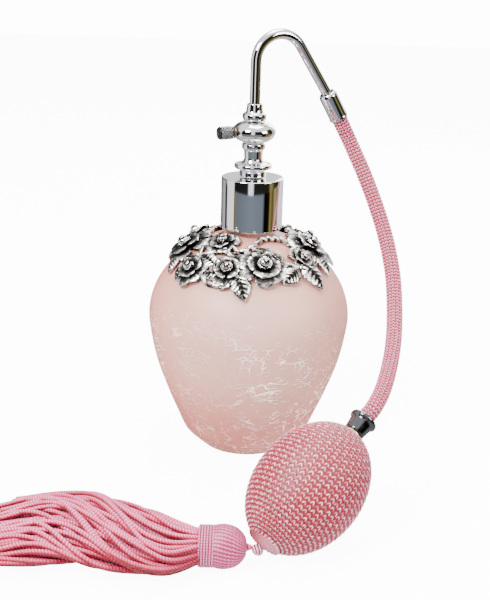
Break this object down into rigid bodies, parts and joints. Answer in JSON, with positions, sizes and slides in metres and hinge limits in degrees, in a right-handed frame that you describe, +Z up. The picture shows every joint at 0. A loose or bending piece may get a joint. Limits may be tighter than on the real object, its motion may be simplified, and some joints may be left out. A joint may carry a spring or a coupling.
{
  "type": "perfume atomiser",
  "caption": "Refillable perfume atomiser: frosted crackle glass bottle with a cast flower collar, screw-on chrome sprayer, sleeved hose, netted squeeze bulb and tassel.",
  "frame": {"origin": "centre of the bottle's flat base, on the surface it stands on", "axes": "+Z up the bottle's axis; -Y towards the viewer's side, where the bulb and tassel lie; +X to the hose's side"},
  "size_m": [0.122, 0.1318, 0.1371],
  "materials": {
    "frosted_glass": "frosted crackle, pale pink",
    "antique_silver": "cast filigree, dark in the recesses",
    "white_plastic": "matt",
    "clear_plastic": "translucent",
    "chrome": "mirror polished",
    "dark_chrome": "dark polished",
    "brass": "turned",
    "black_rubber": "matt",
    "pink_rubber": "satin",
    "pink_braid": "woven sleeve, satin thread",
    "pink_net": "crochet net, satin thread",
    "pink_cord": "twisted satin cord",
    "wood": "bare"
  },
  "bodies": {
    "bottle": {"glass_bottle": "frosted_glass", "flower_collar": "antique_silver"},
    "gasket": {"neck_gasket": "white_plastic"},
    "plug": {"tube_plug": "white_plastic", "dip_tube": "clear_plastic"},
    "collar": {"collar_shell": "chrome", "collar_thread_insert": "white_plastic"},
    "head": {"head_stem": "chrome", "head_ball": "chrome", "gooseneck_nut": "chrome", "gooseneck_tube": "chrome", "upper_ferrule": "chrome", "hose_barb": "brass", "hose": "pink_braid", "nozzle_jet": "brass", "nozzle_seal": "black_rubber"},
    "nozzle": {"nozzle_cap": "dark_chrome"},
    "bulb": {"bulb_ferrule": "dark_chrome", "outlet_valve_body": "brass", "rubber_bulb": "pink_rubber", "net_cover": "pink_net"},
    "outlet_disc": {"outlet_valve_disc": "black_rubber"},
    "tail": {"intake_valve_body": "brass", "tail_knot": "pink_cord"},
    "intake_disc": {"intake_valve_disc": "black_rubber"},
    "tassel": {"tassel_link": "pink_cord", "tassel_head": "pink_cord", "tassel_bead": "wood", "tassel_binding": "pink_cord", "tassel_skirt": "pink_cord"}
  },
  "joints": [
    {"name": "sprayer_lift_off", "type": "slide", "parent": "bottle", "child": "gasket", "axis": [0, 0, 1], "range_m": [0, 0.085]},
    {"name": "unscrew_rise", "type": "slide", "parent": "gasket", "child": "plug", "axis": [0, 0, 1], "range_m": [0, 0.00451]},
    {"name": "collar_turn", "type": "hinge", "parent": "plug", "child": "collar", "pos_m": [0, 0, 0.0826], "axis": [0, 0, 1], "range_deg": [0, 540]},
    {"name": "head_swivel", "type": "hinge", "parent": "plug", "child": "head", "pos_m": [0, 0, 0.0926], "axis": [0, 0, 1], "continuous": true},
    {"name": "nozzle_turn", "type": "hinge", "parent": "head", "child": "nozzle", "pos_m": [0, 0, 0.1053], "axis": [-0.891, -0.454, 0], "range_deg": [0, 180]},
    {"name": "hose_swing", "type": "hinge", "parent": "head", "child": "bulb", "pos_m": [0.028, 0.0143, 0.1077], "axis": [0, 0, 1], "range_deg": [-12, 45], "deforming": ["hose"]},
    {"name": "outlet_valve", "type": "slide", "parent": "bulb", "child": "outlet_disc", "axis": [0.5983, 0.6203, 0.5072], "range_m": [0, 0.001]},
    {"name": "bulb_squeeze", "type": "slide", "parent": "bulb", "child": "tail", "axis": [0.5983, 0.6203, 0.5072], "range_m": [0, 0.003], "stiffness_N_per_m": 400, "deforming": ["rubber_bulb", "net_cover"]},
    {"name": "intake_valve", "type": "slide", "parent": "tail", "child": "intake_disc", "axis": [0.5983, 0.6203, 0.5072], "range_m": [0, 0.001]},
    {"name": "tassel_swing", "type": "hinge", "parent": "tail", "child": "tassel", "pos_m": [0.0028, -0.0852, 0.00635], "axis": [0, 0, 1], "range_deg": [-8, 35]}
  ],
  "couplings": [
    {"joint": "unscrew_rise", "follows": "collar_turn", "m_per_rad": 0.00047746}
  ]
}
